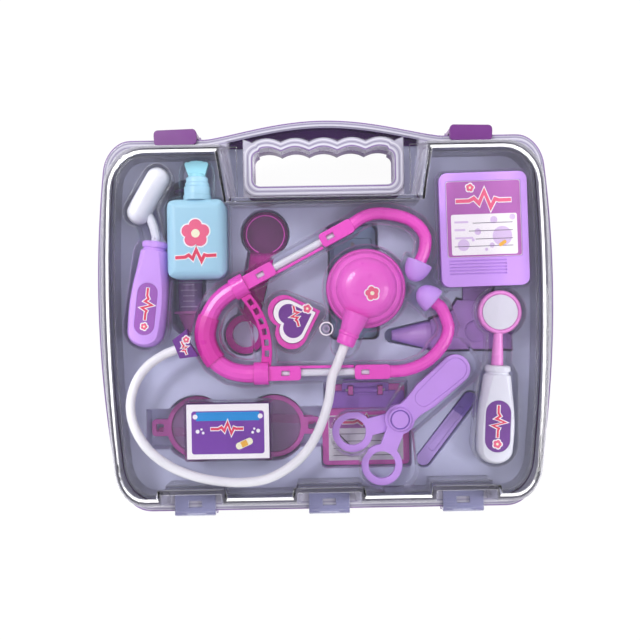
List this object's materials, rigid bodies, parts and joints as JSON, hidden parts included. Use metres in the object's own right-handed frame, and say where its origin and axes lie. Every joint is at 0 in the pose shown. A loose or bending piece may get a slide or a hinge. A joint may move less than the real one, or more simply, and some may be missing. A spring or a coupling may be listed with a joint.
{
  "type": "toy doctor case",
  "caption": "Carrying case with a clear hinged lid, snap latches and a grip, holding toy doctor's tools in two moulded trays.",
  "frame": {"origin": "on the outer back face at the middle of the case, under the point midway between its side, hinge and latch edges", "axes": "+X to the case's right as seen from the clear front, +Y from the hinge edge to the handle, +Z out of the clear front"},
  "size_m": [0.282, 0.244, 0.062],
  "materials": {
    "case_purple": "glossy",
    "lid_clear": "clear glossy",
    "clip_grey": "translucent glossy",
    "latch_purple": "glossy",
    "tray_lavender": "satin",
    "tray_clear": "clear glossy",
    "pink": "glossy",
    "magenta": "glossy",
    "white": "glossy",
    "hose_white": "smooth",
    "lilac": "satin",
    "lilac_tip": "soft satin",
    "purple": "glossy",
    "bottle_blue": "glossy",
    "bottle_cap": "translucent glossy",
    "paper": "matt print",
    "mirror_pink": "glossy",
    "disc_white": "glossy",
    "glasses_pink": "translucent glossy",
    "lens_clear": "clear glossy",
    "board_pink": "glossy",
    "thermo_purple": "satin",
    "syringe_grey": "translucent glossy",
    "sound_blue": "satin",
    "steel": "bright"
  },
  "bodies": {
    "case_base": {"base_shell": "case_purple", "lower_tray": "tray_lavender", "upper_tray": "tray_clear", "scissor_blade_a": "lilac", "scissor_pivot": "lilac", "glasses_frame": "glasses_pink", "glasses_lenses": "lens_clear", "temple_left": "glasses_pink", "temple_right": "glasses_pink", "board": "board_pink", "clip_pin": "steel", "chart_sheet": "paper", "thermometer": "thermo_purple", "otoscope_body": "thermo_purple", "otoscope_speculum": "purple", "loupe_frame": "magenta", "loupe_lens": "lens_clear", "syringe_barrel": "syringe_grey", "syringe_nozzle": "purple", "sound_box": "sound_blue", "battery_door": "sound_blue", "door_screw": "steel"},
    "lid": {"lid_shell": "lid_clear", "lid_grip": "lid_clear", "hinge_clips": "clip_grey"},
    "left_latch": {"latch_left": "latch_purple"},
    "right_latch": {"latch_right": "latch_purple"},
    "scissor_half": {"scissor_blade_b": "lilac"},
    "plunger": {"syringe_plunger": "purple"},
    "chart_clip": {"board_clip": "purple"},
    "stethoscope": {"yoke": "pink", "yoke_sleeve": "magenta", "clamp_upper": "pink", "clamp_lower": "pink", "spring_bridge": "magenta", "rod_upper": "white", "rod_lower": "white", "ear_tube_upper": "pink", "ear_tube_lower": "pink", "ear_tip_upper": "lilac_tip", "ear_tip_lower": "lilac_tip", "tube_tag": "purple", "hose": "hose_white", "chest_dome": "pink", "chest_collar": "magenta", "diaphragm": "white"},
    "hammer": {"hammer_handle": "lilac", "hammer_head": "white"},
    "bottle": {"bottle_body": "bottle_blue", "bottle_collar": "bottle_blue", "bottle_stopper": "bottle_cap"},
    "record_card": {"card_frame": "lilac", "card_sheet": "paper"},
    "dental_mirror": {"mirror_handle": "white", "mirror_frame": "mirror_pink", "mirror_disc": "disc_white"},
    "bandages": {"bandage_box": "purple"},
    "heart_gauge": {"gauge_body": "magenta", "gauge_face": "purple"}
  },
  "joints": [
    {"name": "lid_hinge", "type": "hinge", "parent": "case_base", "child": "lid", "pos_m": [0, -0.1164, 0.031], "axis": [1, 0, 0], "range_deg": [0, 180]},
    {"name": "left_latch_hinge", "type": "hinge", "parent": "case_base", "child": "left_latch", "pos_m": [-0.091, 0.1175, 0.0245], "axis": [-1, 0, 0], "range_deg": [0, 100]},
    {"name": "right_latch_hinge", "type": "hinge", "parent": "case_base", "child": "right_latch", "pos_m": [0.091, 0.1175, 0.0245], "axis": [-1, 0, 0], "range_deg": [0, 100]},
    {"name": "scissor_pivot_hinge", "type": "hinge", "parent": "case_base", "child": "scissor_half", "pos_m": [0.045, -0.061, 0.0327], "axis": [0, 0, 1], "range_deg": [0, 14]},
    {"name": "plunger_slide", "type": "slide", "parent": "case_base", "child": "plunger", "axis": [0, -1, 0], "range_m": [0, 0.018]},
    {"name": "chart_clip_hinge", "type": "hinge", "parent": "case_base", "child": "chart_clip", "pos_m": [0.0245, -0.0435, 0.0212], "axis": [-1, 0, 0], "range_deg": [0, 12]},
    {"name": "stethoscope_lift", "type": "slide", "parent": "case_base", "child": "stethoscope", "axis": [0, 0, 1], "range_m": [0, 0.005]},
    {"name": "hammer_lift", "type": "slide", "parent": "case_base", "child": "hammer", "axis": [0, 0, 1], "range_m": [0, 0.005]},
    {"name": "bottle_lift", "type": "slide", "parent": "case_base", "child": "bottle", "axis": [0, 0, 1], "range_m": [0, 0.005]},
    {"name": "record_card_lift", "type": "slide", "parent": "case_base", "child": "record_card", "axis": [0, 0, 1], "range_m": [0, 0.005]},
    {"name": "dental_mirror_lift", "type": "slide", "parent": "case_base", "child": "dental_mirror", "axis": [0, 0, 1], "range_m": [0, 0.005]},
    {"name": "bandage_box_lift", "type": "slide", "parent": "case_base", "child": "bandages", "axis": [0, 0, 1], "range_m": [0, 0.005]},
    {"name": "heart_gauge_lift", "type": "slide", "parent": "case_base", "child": "heart_gauge", "axis": [0, 0, 1], "range_m": [0, 0.005]}
  ]
}
